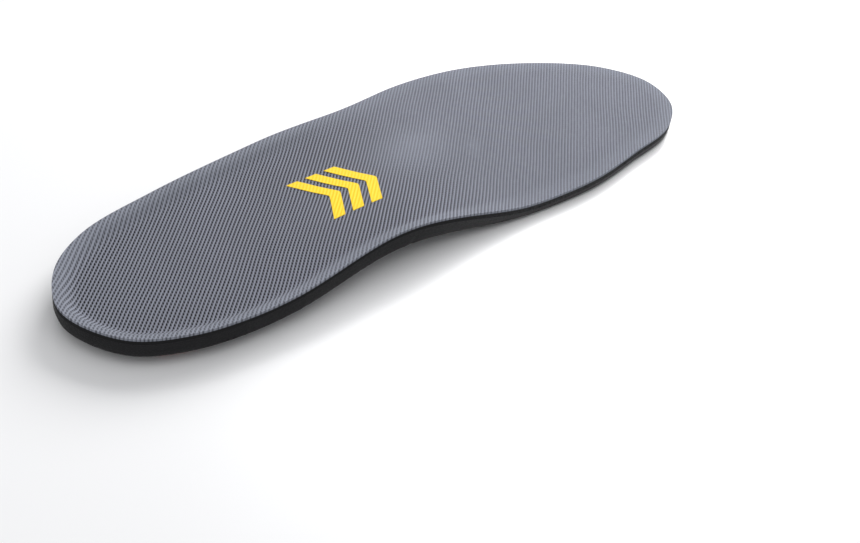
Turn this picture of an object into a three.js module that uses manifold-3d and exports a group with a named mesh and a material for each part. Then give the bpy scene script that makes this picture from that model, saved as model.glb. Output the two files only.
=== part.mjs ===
// A cushioned insole for a left shoe: a knitted top cover on a sheet of comfort foam, on a moulded foam base
// with a heel cup, an arch flange, two soft pads let into its underside and a stiff shank under the arch.
//
// Frame: millimetres. +X runs from heel to toe, +Y towards the outer (lateral) side, +Z up out of the cover.
// Plan sizes below are measured from the back of the heel along X and from the heel's middle line along Y.
// The finished group is moved so that its origin is the middle of its bounding box, at the bottom.

import * as THREE from 'three';
import { mergeVertices } from 'three/addons/utils/BufferGeometryUtils.js';
import Module from 'manifold-3d';

const wasm = await Module();
wasm.setup();

// Plan of the insole
const LENGTH = 270;
const HEEL_LATERAL = 34.5;   // middle line to the outer edge at the heel
const HEEL_MEDIAL = 34.2;    // middle line to the inner edge at the heel
const WAIST_LATERAL = 39.3;
const WAIST_MEDIAL = 32.8;
const BALL_LATERAL = 46;
const BALL_MEDIAL = 41.3;
const HEEL_SHIFT = 1.2;      // how far the back of the heel stands to the outer side
const TOE_SHIFT = -7.3;      // how far the tip stands to the inner side
const ARCH_X = 0.415 * LENGTH;
const BALL_X = 0.69 * LENGTH;
const MOULD_END = ARCH_X + 56;   // the moulded wall fades out into the cut forefoot edge here

// Thickness of each layer, and the thin bond line between two of them
const COVER_THICKNESS = 0.9;
const FOAM_THICKNESS = 1.6;
const BOND_GAP = 0.3;

// Height of the cover above the ground
const FOREFOOT_HEIGHT = 5.6;
const HEEL_SEAT_HEIGHT = 8;
const CUP_DEPTH = 4.4;       // heel seat up to the cup's rim
const CUP_WALL = 11;         // width of the sloping wall around the seat
const ARCH_RISE = 6;
const ARCH_REACH = 66;       // from the arch's peak to where it dies out
const ARCH_START = 12;       // where the arch starts to climb, from the middle line
const DOME_RISE = 2;         // metatarsal dome, just behind the ball
const DOME_X = BALL_X - 32;
const DOME_Y = 9;
const DOME_LENGTH = 52;
const DOME_WIDTH = 42;

// Moulded base
const LIP = 3;               // upright edge of the base at the heel cup's rim
const LEAST_CURL = 0.25;     // share of the edge that is softened where the base is thinner than the lip
const HEEL_INSET = 9;        // how far the heel's wall tucks in on its way down
const ARCH_INSET = 11;
const SOLE_SWEEP = 3.6;      // lift of the underside below the arch flange
const SWEEP_START = -17;
const EDGE_INSET = 0.9;      // softened lower edge of the cut forefoot

// Soft pads
const PAD_PROUD = 0.5;       // how far the pads stand out below the base
const PAD_CLEARANCE = 1.2;   // open gap around each pad in its recess
const PAD_BEVEL = 0.6;
const HEEL_PAD_X = 37;
const HEEL_PAD_LENGTH = 45;
const HEEL_PAD_MARGIN = 9.4; // base left on each side of the heel pad
const HEEL_PAD_DEPTH = 2.6;  // depth of its recess in the base
const BALL_PAD_LENGTH = 48;
const BALL_PAD_MARGIN = 7.8; // base left on each side of the ball pad

/** A pad as wide as the base leaves room for. `square`, `skew` and `hollow` set its plan shape. */
const padBetween = (medial, lateral, margin, plan) => ({
  ...plan,
  y: (lateral - medial) / 2,
  width: lateral + medial - 2 * margin,
});
const HEEL_PAD = padBetween(HEEL_MEDIAL - HEEL_SHIFT, HEEL_LATERAL + HEEL_SHIFT, HEEL_PAD_MARGIN, {
  x: HEEL_PAD_X + 2, length: HEEL_PAD_LENGTH, square: 3.4, skew: 1.5, hollow: 8,
});
const BALL_PAD = padBetween(BALL_MEDIAL, BALL_LATERAL, BALL_PAD_MARGIN, {
  x: BALL_X + 2, length: BALL_PAD_LENGTH, square: 2.7, skew: -15, hollow: 0,
});

// Shank plate in the dish under the arch
const DISH_X = ARCH_X + 1;
const DISH_Y = (WAIST_LATERAL - WAIST_MEDIAL) / 2;
const DISH_LENGTH = 72;
const DISH_MARGIN = 13;      // base left on each side of the dish
const DISH_WIDTH = WAIST_LATERAL + WAIST_MEDIAL - 2 * DISH_MARGIN;
const DISH_DEPTH = 1.7;
const DISH_SLOPE = 1.2;
const SHANK_THICKNESS = 1.1;
const SHANK_HEEL_WIDTH = 15;
const SHANK_TOE_WIDTH = 5;
const SHANK_LENGTH = 44;
const SHANK_ARM_WIDTH = 8;
const SHANK_ARM_LENGTH = 15; // from the bar's middle to the arm's end
const SHANK_ARM_X = 3;       // the arm stands this far in front of the dish's middle

// Grooves moulded into the underside
const FLEX_COUNT = 7;
const FLEX_PITCH = 4.9;
const FLEX_WIDTH = 2;
const FLEX_DEPTH = 1.1;
const FLEX_TIP = 19;         // from the tip back to the first groove
const FLEX_SPLIT_Y = -20;    // plain strip between the two rows
const FLEX_SPLIT_WIDTH = 5;
const FLEX_MARGIN = 6;       // left uncut along the edge
const FLEX_SLANT = 0.12;
const FAN_ANGLES = [-46, 0, 42];  // from straight across, in degrees
const FAN_WIDTH = 2.4;
const FAN_DEPTH = 1.1;
const FAN_GAP = 2.5;         // from the dish's edge to where a fan groove starts
const FAN_LENGTH = 13;
const FAN_STEPS = 6;
const MARK_X = DISH_X + DISH_LENGTH / 2;
const MARK_Y = 27;
const MARK_RADIUS = 4.5;
const MARK_LINE = 0.8;
const MARK_DEPTH = 0.5;

// Printed chevrons on the cover, pointing to the toe
const PRINT_X = ARCH_X - 14;
const PRINT_Y = 4;
const PRINT_WIDTH = 26;
const PRINT_BAR = 5;
const PRINT_PITCH = 8.5;
const PRINT_DEPTH = 9;       // how far a chevron's tip runs ahead of its ends
const PRINT_FILM = 0.2;
const PRINT_COUNT = 3;

// How finely the shapes are divided
const AROUND = 80;
const RIM_RINGS = [0, 1.6, 4, 8, 13];
const INNER_RINGS = [0.76, 0.5, 0.25, 0];
const PAD_POINTS = 44;
const END_POINTS = 5;
const WELD = 1e-4;

const ink = (color, roughness) => new THREE.MeshStandardMaterial({ color, roughness, metalness: 0 });
const FABRIC = ink(0x7d8188, 0.95);
const GREY_FOAM = ink(0x4a4a4d, 0.9);
const BLACK_FOAM = ink(0x1b1b1d, 0.6);
const RED_PAD = ink(0xe0201a, 0.5);
const SHANK_PLASTIC = ink(0x131315, 0.35);
const YELLOW_INK = ink(0xf6cf22, 0.8);

const clamp = (value) => Math.min(1, Math.max(0, value));

/** Goes from 0 at `from` to 1 at `to` with no slope at either end. */
function ease(from, to, value) {
  const t = clamp((value - from) / (to - from));
  return t * t * (3 - 2 * t);
}

/** A bump of height 1 at `middle` that is gone at `reach` on both sides. */
function bump(middle, reach, value) {
  const t = clamp(1 - Math.abs(value - middle) / reach);
  return t * t * (3 - 2 * t);
}

/** The insole's edge in plan, from the back of the heel round the outer side to the tip and back. */
function makeOutline() {
  const along = (share) => share * LENGTH;
  const points = [
    [0, HEEL_SHIFT],
    [along(0.028), HEEL_SHIFT + 0.48 * HEEL_LATERAL],
    [along(0.09), HEEL_SHIFT + 0.8 * HEEL_LATERAL],
    [along(0.2), HEEL_LATERAL],
    [along(0.36), WAIST_LATERAL],
    [along(0.52), 0.45 * WAIST_LATERAL + 0.55 * BALL_LATERAL],
    [along(0.65), BALL_LATERAL],
    [along(0.77), 0.9 * BALL_LATERAL],
    [along(0.88), 0.62 * BALL_LATERAL],
    [along(0.965), 0.24 * BALL_LATERAL],
    [LENGTH, TOE_SHIFT],
    [along(0.985), TOE_SHIFT - 0.4 * BALL_MEDIAL],
    [along(0.93), TOE_SHIFT - 0.66 * BALL_MEDIAL],
    [along(0.84), 0.93 * -BALL_MEDIAL],
    [along(0.74), -BALL_MEDIAL],
    [along(0.62), 0.25 * -WAIST_MEDIAL + 0.75 * -BALL_MEDIAL],
    [along(0.5), 0.75 * -WAIST_MEDIAL + 0.25 * -BALL_MEDIAL],
    [along(0.38), -WAIST_MEDIAL],
    [along(0.22), -HEEL_MEDIAL],
    [along(0.1), HEEL_SHIFT - 0.9 * HEEL_MEDIAL],
    [along(0.032), HEEL_SHIFT - 0.6 * HEEL_MEDIAL],
  ];
  return new THREE.CatmullRomCurve3(points.map(([x, y]) => new THREE.Vector3(x, y, 0)), true, 'centripetal');
}

const OUTLINE = makeOutline();
const MIDDLE = new THREE.Vector2(0.47 * LENGTH, 3);

/** The edge's plan points and inward normals, evenly numbered round the curve. */
const EDGE = Array.from({ length: AROUND }, (_, i) => {
  const point = OUTLINE.getPoint(i / AROUND);
  const tangent = OUTLINE.getTangent(i / AROUND);
  return { x: point.x, y: point.y, inX: tangent.y, inY: -tangent.x };
});

/** The y of the edge on one side of the insole at a given x. */
function edgeY(x, side) {
  const onSide = EDGE.filter((p) => Math.sign(p.y - MIDDLE.y) === side);
  const sorted = onSide.sort((a, b) => a.x - b.x);
  const after = Math.max(1, sorted.findIndex((p) => p.x >= x));
  const [a, b] = [sorted[after - 1], sorted[after]];
  return a.y + (b.y - a.y) * clamp((x - a.x) / (b.x - a.x));
}

/** Share of the moulded, walled form left at x: 1 at the heel and arch, 0 from the ball on. */
const moulded = (x) => 1 - ease(MOULD_END - ARCH_REACH, MOULD_END, x);

/** Share of the arch at a plan point: 1 at its inner edge, 0 at the middle line and away from the arch. */
const archShare = (x, y) => bump(ARCH_X, ARCH_REACH, x) * ease(ARCH_START, -WAIST_MEDIAL, y);

/** Height of the cover's top at a plan point that lies `inset` inside the edge. */
function coverTop(x, y, inset) {
  const seat = HEEL_SEAT_HEIGHT - (HEEL_SEAT_HEIGHT - FOREFOOT_HEIGHT) * ease(HEEL_PAD_X, MOULD_END, x);
  const wall = clamp(1 - inset / CUP_WALL) ** 2;
  const off = Math.hypot((x - DOME_X) / (DOME_LENGTH / 2), (y - DOME_Y) / (DOME_WIDTH / 2));
  const dome = DOME_RISE * (1 - ease(0, 1, off));
  return seat + CUP_DEPTH * wall * moulded(x) + ARCH_RISE * archShare(x, y) + dome;
}

const foamTop = (x, y, inset) => coverTop(x, y, inset) - COVER_THICKNESS - BOND_GAP;
const baseTop = (x, y, inset) => foamTop(x, y, inset) - FOAM_THICKNESS - BOND_GAP;

/** Height of the base's underside: level in the middle, curling up to the rim along the moulded wall. */
function baseBottom(x, y, inset) {
  const sweep = SOLE_SWEEP * bump(ARCH_X, ARCH_REACH, x) * ease(SWEEP_START, -WAIST_MEDIAL, y);
  const floor = PAD_PROUD + sweep;
  const heelTuck = (HEEL_INSET - EDGE_INSET) * moulded(x);
  const archTuck = (ARCH_INSET - HEEL_INSET) * archShare(x, y);
  const tuck = EDGE_INSET + heelTuck + archTuck;
  const out = clamp(1 - inset / tuck);
  const curl = 1 - Math.sqrt(1 - out * out);
  const room = baseTop(x, y, 0) - floor;
  return floor + Math.max(LEAST_CURL * room, room - LIP) * curl;
}

/** Drops the seams, merges the vertices and removes the empty faces, so that a mesh is one closed skin. */
function closedSkin(geometry) {
  const bare = geometry.clone();
  bare.deleteAttribute('normal');
  bare.deleteAttribute('uv');
  const merged = mergeVertices(bare, WELD);
  const index = merged.index.array;
  const kept = [];
  for (let i = 0; i < index.length; i += 3) {
    const [a, b, c] = [index[i], index[i + 1], index[i + 2]];
    if (a !== b && b !== c && c !== a) kept.push(a, b, c);
  }
  merged.setIndex(kept);
  return merged;
}

/** The plan point and edge inset of one ring's crossing with one spoke. */
function planPoint(spoke, ring) {
  const edge = EDGE[spoke % AROUND];
  const inset = RIM_RINGS[Math.min(ring, RIM_RINGS.length - 1)];
  const x = edge.x + edge.inX * inset;
  const y = edge.y + edge.inY * inset;
  if (ring < RIM_RINGS.length) return { x, y, inset };
  const share = INNER_RINGS[ring - RIM_RINGS.length];
  return { x: MIDDLE.x + (x - MIDDLE.x) * share, y: MIDDLE.y + (y - MIDDLE.y) * share, inset: CUP_WALL };
}

/** A full-plan layer between two height functions: a turned disc, its rings moved onto the insole's plan. */
function layer(bottom, top) {
  const rings = RIM_RINGS.length + INNER_RINGS.length - 1;
  const under = Array.from({ length: rings + 1 }, (_, i) => new THREE.Vector2(i, 0));
  const over = Array.from({ length: rings + 1 }, (_, i) => new THREE.Vector2(rings - i, 1));
  const disc = new THREE.LatheGeometry([...under, ...over], AROUND);
  const position = disc.attributes.position;
  for (let i = 0; i < position.count; i += 1) {
    const ring = rings - Math.round(Math.hypot(position.getX(i), position.getZ(i)));
    const turn = Math.atan2(position.getX(i), position.getZ(i)) / (2 * Math.PI);
    const spoke = Math.round((turn + 1) * AROUND) % AROUND;
    const { x, y, inset } = planPoint(spoke, ring);
    const height = position.getY(i) > 0.5 ? top(x, y, inset) : bottom(x, y, inset);
    position.setXYZ(i, x, y, height);
  }
  return facingOut(closedSkin(disc));
}

/** Turns every face over when the skin's volume comes out negative. */
function facingOut(geometry) {
  const position = geometry.attributes.position;
  const index = geometry.index.array;
  const corner = (i) => new THREE.Vector3().fromBufferAttribute(position, index[i]);
  let volume = 0;
  for (let i = 0; i < index.length; i += 3) volume += corner(i).dot(corner(i + 1).cross(corner(i + 2)));
  if (volume > 0) return geometry;
  const turned = Array.from(index);
  for (let i = 0; i < turned.length; i += 3) [turned[i], turned[i + 1]] = [turned[i + 1], turned[i]];
  geometry.setIndex(turned);
  return geometry;
}

/** A three.js geometry as a solid for cutting. */
function solid(geometry) {
  const skin = closedSkin(geometry);
  const mesh = new wasm.Mesh({
    numProp: 3,
    vertProperties: new Float32Array(skin.attributes.position.array),
    triVerts: new Uint32Array(skin.index.array),
  });
  mesh.merge();
  return new wasm.Manifold(mesh);
}

/** A cut solid back as a three.js geometry. */
function geometryOf(body) {
  const { vertProperties, triVerts } = body.getMesh();
  const geometry = new THREE.BufferGeometry();
  geometry.setAttribute('position', new THREE.BufferAttribute(new Float32Array(vertProperties), 3));
  geometry.setIndex(Array.from(triVerts));
  return geometry;
}

/** The shape with every tool cut out of it. */
function cut(geometry, tools) {
  const whole = solid(geometry);
  return geometryOf(tools.reduce((left, tool) => left.subtract(solid(tool)), whole));
}

/**
 * A pad's plan: a squarish oval, pushed forward on one side by `skew`, its front edge drawn in by `hollow`.
 * `grow` moves the whole edge outwards, for the recess around the pad.
 */
function padShape(pad, grow) {
  const power = 2 / pad.square;
  const bend = (value) => Math.sign(value) * Math.abs(value) ** power;
  const points = Array.from({ length: PAD_POINTS }, (_, i) => {
    const angle = (2 * Math.PI * i) / PAD_POINTS;
    const u = bend(Math.cos(angle));
    const v = bend(Math.sin(angle));
    const drawnIn = pad.hollow * Math.max(0, u) * (1 - v * v);
    return new THREE.Vector2(
      pad.x + (pad.length / 2 + grow) * u + pad.skew * v - drawnIn,
      pad.y + (pad.width / 2 + grow) * v,
    );
  });
  return new THREE.Shape(points);
}

/** A plan shape raised from `from` to `to`, with its edges rounded by `bevel`. */
function slab(shape, from, to, bevel = 0) {
  const geometry = new THREE.ExtrudeGeometry(shape, {
    depth: to - from - 2 * bevel,
    bevelEnabled: bevel > 0,
    bevelThickness: bevel,
    bevelSize: bevel,
    bevelOffset: -bevel,
    bevelSegments: 2,
    curveSegments: END_POINTS,
  });
  return geometry.translate(0, 0, from + bevel);
}

/** A straight slot with round ends, from one plan point to another. */
function slotShape(x0, y0, x1, y1, width) {
  const heading = Math.atan2(y1 - y0, x1 - x0);
  const shape = new THREE.Shape();
  shape.absarc(x1, y1, width / 2, heading - Math.PI / 2, heading + Math.PI / 2, false);
  shape.absarc(x0, y0, width / 2, heading + Math.PI / 2, heading + (3 * Math.PI) / 2, false);
  return shape;
}

/** A tool that cuts a plan shape into the underside to a given depth. */
const underCut = (shape, depth) => slab(shape, PAD_PROUD - 1, PAD_PROUD + depth);

const heelPadTop = PAD_PROUD + HEEL_PAD_DEPTH - BOND_GAP;
const ballPadTop = FOREFOOT_HEIGHT - COVER_THICKNESS - FOAM_THICKNESS - 2 * BOND_GAP;
const dishFloor = PAD_PROUD + DISH_DEPTH;

const heelPad = () => slab(padShape(HEEL_PAD, 0), 0, heelPadTop, PAD_BEVEL);
const ballPad = () => slab(padShape(BALL_PAD, 0), 0, ballPadTop, PAD_BEVEL);

/** The stiff plate: a bar that narrows towards the toe, with a short arm to the outer side. */
function shank() {
  const heelEnd = DISH_X - SHANK_LENGTH / 2 + SHANK_HEEL_WIDTH / 2;
  const toeEnd = DISH_X + SHANK_LENGTH / 2 - SHANK_TOE_WIDTH / 2;
  const armX = DISH_X + SHANK_ARM_X;
  const shape = new THREE.Shape();
  shape.absarc(toeEnd, DISH_Y, SHANK_TOE_WIDTH / 2, -Math.PI / 2, Math.PI / 2, false);
  shape.absarc(heelEnd, DISH_Y, SHANK_HEEL_WIDTH / 2, Math.PI / 2, (3 * Math.PI) / 2, false);
  const arm = slotShape(armX, DISH_Y, armX, DISH_Y + SHANK_ARM_LENGTH - SHANK_ARM_WIDTH / 2, SHANK_ARM_WIDTH);
  const top = dishFloor - BOND_GAP;
  const bottom = top - SHANK_THICKNESS;
  return geometryOf(solid(slab(shape, bottom, top)).add(solid(slab(arm, bottom, top))));
}

/** The oval dish under the arch, with sloping sides. */
function dishTool() {
  const shape = new THREE.Shape();
  shape.absellipse(DISH_X, DISH_Y, DISH_LENGTH / 2, DISH_WIDTH / 2, 0, 2 * Math.PI, false);
  const tool = new THREE.ExtrudeGeometry(shape, {
    depth: 1,
    bevelThickness: DISH_DEPTH,
    bevelSize: DISH_SLOPE,
    bevelOffset: -DISH_SLOPE,
    bevelSegments: 1,
    curveSegments: AROUND / 5,
  });
  return tool.translate(0, 0, PAD_PROUD - 1);
}

/** Two rows of flex grooves across the toe, each ending a margin inside the edge. */
function flexTools() {
  const tools = [];
  for (let i = 0; i < FLEX_COUNT; i += 1) {
    const x = LENGTH - FLEX_TIP - i * FLEX_PITCH;
    const inner = [FLEX_SPLIT_Y - FLEX_SPLIT_WIDTH / 2, edgeY(x, -1) + FLEX_MARGIN];
    const outer = [FLEX_SPLIT_Y + FLEX_SPLIT_WIDTH / 2, edgeY(x, 1) - FLEX_MARGIN];
    for (const [from, to] of [inner, outer]) {
      const room = ballPadReach(x, from, to);
      tools.push(underCut(slotShape(x, from, x - FLEX_SLANT * (room - from), room, FLEX_WIDTH), FLEX_DEPTH));
    }
  }
  return tools;
}

/** Where a groove at x stops: at its own end, or short of the ball pad's recess. */
function ballPadReach(x, from, to) {
  const step = Math.sign(to - from) * FLEX_WIDTH / 4;
  const clear = PAD_CLEARANCE + FLEX_WIDTH;
  let y = from;
  while ((to - y) * step > 0) {
    const v = (y + step - BALL_PAD.y) / (BALL_PAD.width / 2 + clear);
    const u = Math.max(0, 1 - Math.abs(v) ** BALL_PAD.square) ** (1 / BALL_PAD.square);
    const front = BALL_PAD.x + (BALL_PAD.length / 2 + clear) * u + BALL_PAD.skew * v;
    if (Math.abs(v) < 1 && x - FLEX_WIDTH < front) break;
    y += step;
  }
  return y;
}

/** How far a plan point lies inside the edge. */
const insetAt = (x, y) => Math.min(...EDGE.map((p) => Math.hypot(p.x - x, p.y - y)));

/** A tool for one fan groove: a bar whose upper face keeps a set depth inside the curving underside. */
function fanTool(fromX, fromY, angle) {
  const bar = new THREE.BoxGeometry(FAN_LENGTH, FAN_WIDTH, 1, FAN_STEPS, 1, 1);
  bar.translate(FAN_LENGTH / 2, 0, 0).rotateZ(angle).translate(fromX, fromY, 0);
  const position = bar.attributes.position;
  for (let i = 0; i < position.count; i += 1) {
    const [x, y] = [position.getX(i), position.getY(i)];
    const under = baseBottom(x, y, insetAt(x, y));
    position.setZ(i, position.getZ(i) > 0 ? under + FAN_DEPTH : under - 2 * FAN_DEPTH);
  }
  return bar;
}

/** Short grooves that fan out from the dish, three to each side. */
function fanTools() {
  const tools = [];
  for (const side of [-1, 1]) {
    for (const degrees of FAN_ANGLES) {
      const turn = THREE.MathUtils.degToRad(degrees);
      const [along, across] = [Math.sin(turn), side * Math.cos(turn)];
      const reach = FAN_GAP + 1 / Math.hypot(along / (DISH_LENGTH / 2), across / (DISH_WIDTH / 2));
      tools.push(fanTool(DISH_X + along * reach, DISH_Y + across * reach, Math.atan2(across, along)));
    }
  }
  return tools;
}

/** A small ring left by the mould's ejector. */
function markTool() {
  const [inner, outer] = [MARK_RADIUS - MARK_LINE, MARK_RADIUS];
  const profile = [[inner, -1], [outer, -1], [outer, MARK_DEPTH], [inner, MARK_DEPTH], [inner, -1]];
  const ring = new THREE.LatheGeometry(profile.map(([r, z]) => new THREE.Vector2(r, z)), PAD_POINTS / 2);
  return facingOut(closedSkin(ring.rotateX(Math.PI / 2).translate(MARK_X, MARK_Y, PAD_PROUD)));
}

/** The moulded base: recess for the heel pad, window for the ball pad, dish, grooves and mark cut in. */
function base() {
  const recess = underCut(padShape(HEEL_PAD, PAD_CLEARANCE), HEEL_PAD_DEPTH);
  const window = underCut(padShape(BALL_PAD, PAD_CLEARANCE), HEEL_SEAT_HEIGHT);
  const body = layer(baseBottom, baseTop);
  return cut(body, [recess, window, dishTool(), markTool(), ...fanTools(), ...flexTools()]);
}

/** One printed chevron, lying on the cover. */
function chevron(number) {
  const x = PRINT_X + number * PRINT_PITCH;
  const half = PRINT_WIDTH / 2;
  const outline = [
    [x, -half], [x + PRINT_DEPTH, 0], [x, half],
    [x + PRINT_BAR, half], [x + PRINT_DEPTH + PRINT_BAR, 0], [x + PRINT_BAR, -half],
  ];
  const shape = new THREE.Shape(outline.map(([px, py]) => new THREE.Vector2(px, PRINT_Y + py)));
  const film = new THREE.ExtrudeGeometry(shape, { depth: PRINT_FILM, bevelEnabled: false });
  const position = film.attributes.position;
  for (let i = 0; i < position.count; i += 1) {
    const lift = coverTop(position.getX(i), position.getY(i), CUP_WALL) + BOND_GAP;
    position.setZ(i, position.getZ(i) + lift);
  }
  return film;
}

/** A named mesh of one sub-part. */
function piece(name, geometry, material) {
  const mesh = new THREE.Mesh(closedSkin(geometry), material);
  mesh.name = name;
  return mesh;
}

const insole = new THREE.Group();
insole.add(piece('top_cover', layer((x, y, i) => coverTop(x, y, i) - COVER_THICKNESS, coverTop), FABRIC));
insole.add(piece('comfort_foam', layer((x, y, i) => foamTop(x, y, i) - FOAM_THICKNESS, foamTop), GREY_FOAM));
insole.add(piece('base_foam', base(), BLACK_FOAM));
insole.add(piece('heel_pad', heelPad(), RED_PAD));
insole.add(piece('ball_pad', ballPad(), RED_PAD));
insole.add(piece('arch_shank', shank(), SHANK_PLASTIC));
for (let i = 0; i < PRINT_COUNT; i += 1) insole.add(piece(`print_chevron_${i + 1}`, chevron(i), YELLOW_INK));

const middle = new THREE.Box3().setFromObject(insole).getCenter(new THREE.Vector3());
insole.position.set(-middle.x, -middle.y, 0);

export default insole;
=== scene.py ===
"""Looks of a cushioned insole for a left shoe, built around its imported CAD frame.

The insole is a knitted cover on a sheet of comfort foam, on a moulded foam base with a heel cup and an
arch flange. Two red pads and a stiff shank are let into the underside, and three chevrons are printed on
the cover.

Plan sizes are in millimetres: x from the back of the heel, y from the heel's middle line towards the outer
side. Meshes are written in metres, in the frame's own axes.
"""
from __future__ import annotations

import logging
import math
from dataclasses import dataclass, field
from enum import Enum
from typing import Any, Callable, Sequence

import bpy
import numpy as np
from mathutils import Matrix

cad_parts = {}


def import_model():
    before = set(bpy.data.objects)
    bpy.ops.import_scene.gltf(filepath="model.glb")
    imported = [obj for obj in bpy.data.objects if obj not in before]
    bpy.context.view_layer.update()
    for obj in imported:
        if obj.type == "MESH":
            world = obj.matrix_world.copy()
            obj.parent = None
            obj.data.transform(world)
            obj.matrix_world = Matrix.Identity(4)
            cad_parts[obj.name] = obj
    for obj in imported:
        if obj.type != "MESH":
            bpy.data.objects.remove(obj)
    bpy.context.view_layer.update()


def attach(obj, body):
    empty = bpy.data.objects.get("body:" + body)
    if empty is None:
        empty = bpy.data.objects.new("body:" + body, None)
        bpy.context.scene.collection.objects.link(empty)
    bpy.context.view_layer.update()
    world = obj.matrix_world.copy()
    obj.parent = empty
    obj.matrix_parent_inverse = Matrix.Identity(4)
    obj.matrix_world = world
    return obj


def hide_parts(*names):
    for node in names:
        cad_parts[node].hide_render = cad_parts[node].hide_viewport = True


Array = np.ndarray
MM = 0.001
log = logging.getLogger("insole")


class Slot(Enum):
    """The record's material slots."""

    COVER = "cover_fabric"
    FOAM = "comfort_foam"
    BASE = "base_foam"
    PAD = "pad_gel"
    SHANK = "shank_plastic"
    PRINT = "print_film"


# ---------------------------------------------------------------- plan and heights


def ease(start: float, end: float, value: Array) -> Array:
    """A smooth step: 3t^2 - 2t^3 of the clamped share t of the way from start to end."""
    t = np.clip((value - start) / (end - start), 0.0, 1.0)
    return t * t * (3.0 - 2.0 * t)


def bump(middle: float, reach: float, value: Array) -> Array:
    """A hill of height 1 at middle that is gone a reach away on both sides, with smooth ends."""
    return ease(0.0, 1.0, 1.0 - np.abs(value - middle) / reach)


@dataclass
class Plan:
    """The insole's outline and the height of every layer over it, in millimetres."""

    length: float = 270.0
    arch_share: float = 0.415
    ball_share: float = 0.69
    heel_lateral: float = 34.5
    heel_medial: float = 34.2
    waist_lateral: float = 39.3
    waist_medial: float = 32.8
    ball_lateral: float = 46.0
    ball_medial: float = 41.3
    heel_shift: float = 1.2
    toe_shift: float = -7.3
    cover: float = 0.9
    foam: float = 1.6
    bond: float = 0.3
    glue: float = 0.1
    forefoot_height: float = 5.6
    heel_seat: float = 8.0
    cup_depth: float = 4.4
    cup_wall: float = 11.0
    arch_rise: float = 6.0
    arch_reach: float = 66.0
    arch_start: float = 12.0
    dome_rise: float = 2.0
    dome_back: float = 32.0
    dome_y: float = 9.0
    dome_length: float = 52.0
    dome_width: float = 42.0
    lip: float = 3.0
    least_curl: float = 0.25
    heel_inset: float = 9.0
    arch_inset: float = 11.0
    sole_sweep: float = 3.6
    sweep_start: float = -17.0
    mould_reach: float = 56.0
    edge_inset: float = 0.9
    proud: float = 0.5
    heel_pad_x: float = 37.0
    roll: float = 0.75
    roll_width: float = 2.6
    bead: float = 0.55
    bead_inset: float = 2.8
    bead_width: float = 1.7
    crease: float = 0.5
    crease_inset: float = 6.4
    crease_width: float = 2.0
    cut_roll: float = 0.35
    fine: int = 4000
    coarse: int = 80
    edge: Array = field(init=False)
    middle: Array = field(init=False)

    def __post_init__(self) -> None:
        """Works out the edge once, and the middle of its box, which is the frame's origin."""
        self.edge = self.outline(np.arange(self.fine) / self.fine)
        corners = self.outline(np.arange(self.coarse) / self.coarse)
        self.middle = (corners.min(0) + corners.max(0)) / 2.0

    @property
    def arch_x(self) -> float:
        """Where the arch is highest."""
        return self.arch_share * self.length

    @property
    def ball_x(self) -> float:
        """The middle of the ball of the foot."""
        return self.ball_share * self.length

    @property
    def mould_end(self) -> float:
        """Where the moulded wall has faded into the cut forefoot edge."""
        return self.arch_x + self.mould_reach

    def stations(self) -> Array:
        """The outline's points: back of the heel, outer side, tip, inner side.

        Returns:
            N x 2 plan points.
        """
        size, hl, hm = self.length, self.heel_lateral, self.heel_medial
        wl, wm, bl, bm = self.waist_lateral, self.waist_medial, self.ball_lateral, self.ball_medial
        heel, toe = self.heel_shift, self.toe_shift
        points = [
            (0, heel), (0.028, heel + 0.48 * hl), (0.09, heel + 0.8 * hl), (0.2, hl), (0.36, wl),
            (0.52, 0.45 * wl + 0.55 * bl), (0.65, bl), (0.77, 0.9 * bl), (0.88, 0.62 * bl),
            (0.965, 0.24 * bl), (1, toe), (0.985, toe - 0.4 * bm), (0.93, toe - 0.66 * bm),
            (0.84, -0.93 * bm), (0.74, -bm), (0.62, -0.25 * wm - 0.75 * bm),
            (0.5, -0.75 * wm - 0.25 * bm), (0.38, -wm), (0.22, -hm), (0.1, heel - 0.9 * hm),
            (0.032, heel - 0.6 * hm),
        ]
        return np.array(points, float) * [size, 1.0]

    def outline(self, turn: Array) -> Array:
        """The edge at a share of the way round: a closed centripetal Catmull-Rom curve.

        Each stretch is a cubic whose end slopes come from its neighbours, with knots spaced by the
        square root of the distance between points.

        Args:
            turn: Shares of the way round, from 0 to 1.

        Returns:
            N x 2 plan points.
        """
        points = self.stations()
        count = len(points)
        place = turn * count
        index = np.floor(place).astype(int)
        share = (place - index)[:, None]
        p0, p1, p2, p3 = (points[(index + k) % count] for k in (-1, 0, 1, 2))
        gap = [((b - a) ** 2).sum(1)[:, None] ** 0.25 for a, b in ((p0, p1), (p1, p2), (p2, p3))]
        out = ((p1 - p0) / gap[0] - (p2 - p0) / (gap[0] + gap[1]) + (p2 - p1) / gap[1]) * gap[1]
        into = ((p2 - p1) / gap[1] - (p3 - p1) / (gap[1] + gap[2]) + (p3 - p2) / gap[2]) * gap[1]
        square = 3.0 * (p2 - p1) - 2.0 * out - into
        cube = 2.0 * (p1 - p2) + out + into
        return p1 + out * share + square * share**2 + cube * share**3

    def inset(self, x: Array, y: Array) -> Array:
        """Distance from each plan point to the nearest edge point, in chunks to spare memory.

        Args:
            x, y: Plan points.

        Returns:
            Distances in millimetres.
        """
        edge = self.edge[::4]
        flat = np.stack([x.ravel(), y.ravel()], 1)
        parts = [
            np.sqrt(((chunk[:, None, :] - edge[None, :, :]) ** 2).sum(2).min(1))
            for chunk in np.array_split(flat, max(1, len(flat) // 2000))
        ]
        return np.concatenate(parts).reshape(x.shape)

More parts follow.
